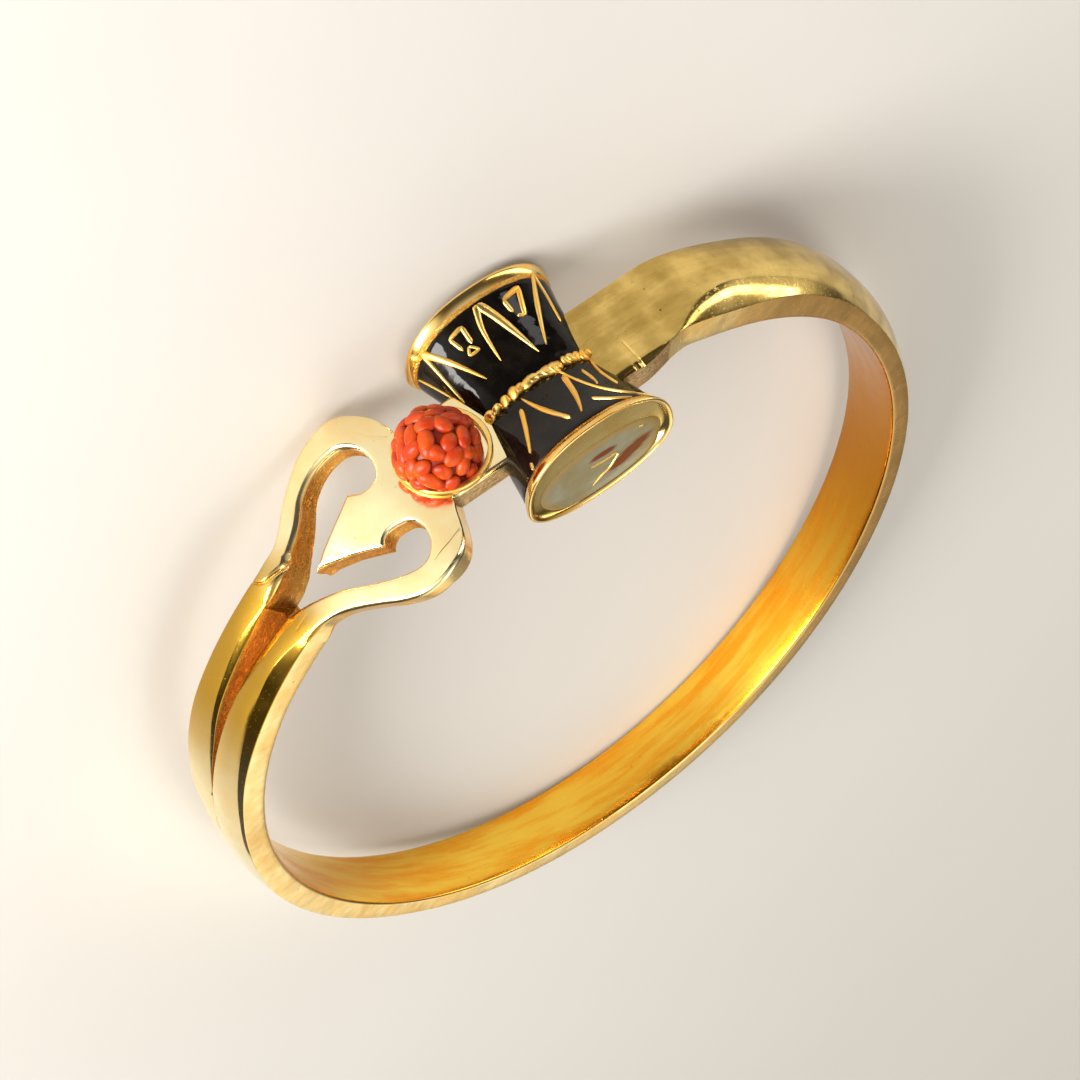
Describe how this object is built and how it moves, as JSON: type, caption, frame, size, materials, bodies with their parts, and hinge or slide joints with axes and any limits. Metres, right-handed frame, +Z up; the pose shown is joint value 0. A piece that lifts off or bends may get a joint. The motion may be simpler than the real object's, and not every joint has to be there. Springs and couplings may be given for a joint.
{
  "type": "ornamental cuff bangle",
  "caption": "Gilt closed bangle with a pierced trident head, a knobbly seed bead in a collet and an enamelled hourglass drum.",
  "frame": {"origin": "on the surface that the bangle rests on, under the middle of its box", "axes": "+Z up, about along the ring's axis; -Y to the front with the drum; +X to the side with the trident head"},
  "size_m": [0.0697, 0.072, 0.0174],
  "materials": {
    "gilt_metal": "polished gilding",
    "seed": "polished knobbly seed",
    "black_enamel": "glossy enamel",
    "pale_enamel": "glossy pale grey-green enamel"
  },
  "bodies": {
    "root": {"bangle_band": "gilt_metal", "bead_collet": "gilt_metal", "seed_bead": "seed", "drum_core": "gilt_metal", "drum_enamel_near": "black_enamel", "drum_enamel_far": "black_enamel", "waist_beading": "gilt_metal", "end_enamel_near": "pale_enamel", "end_enamel_far": "pale_enamel"}
  },
  "joints": []
}
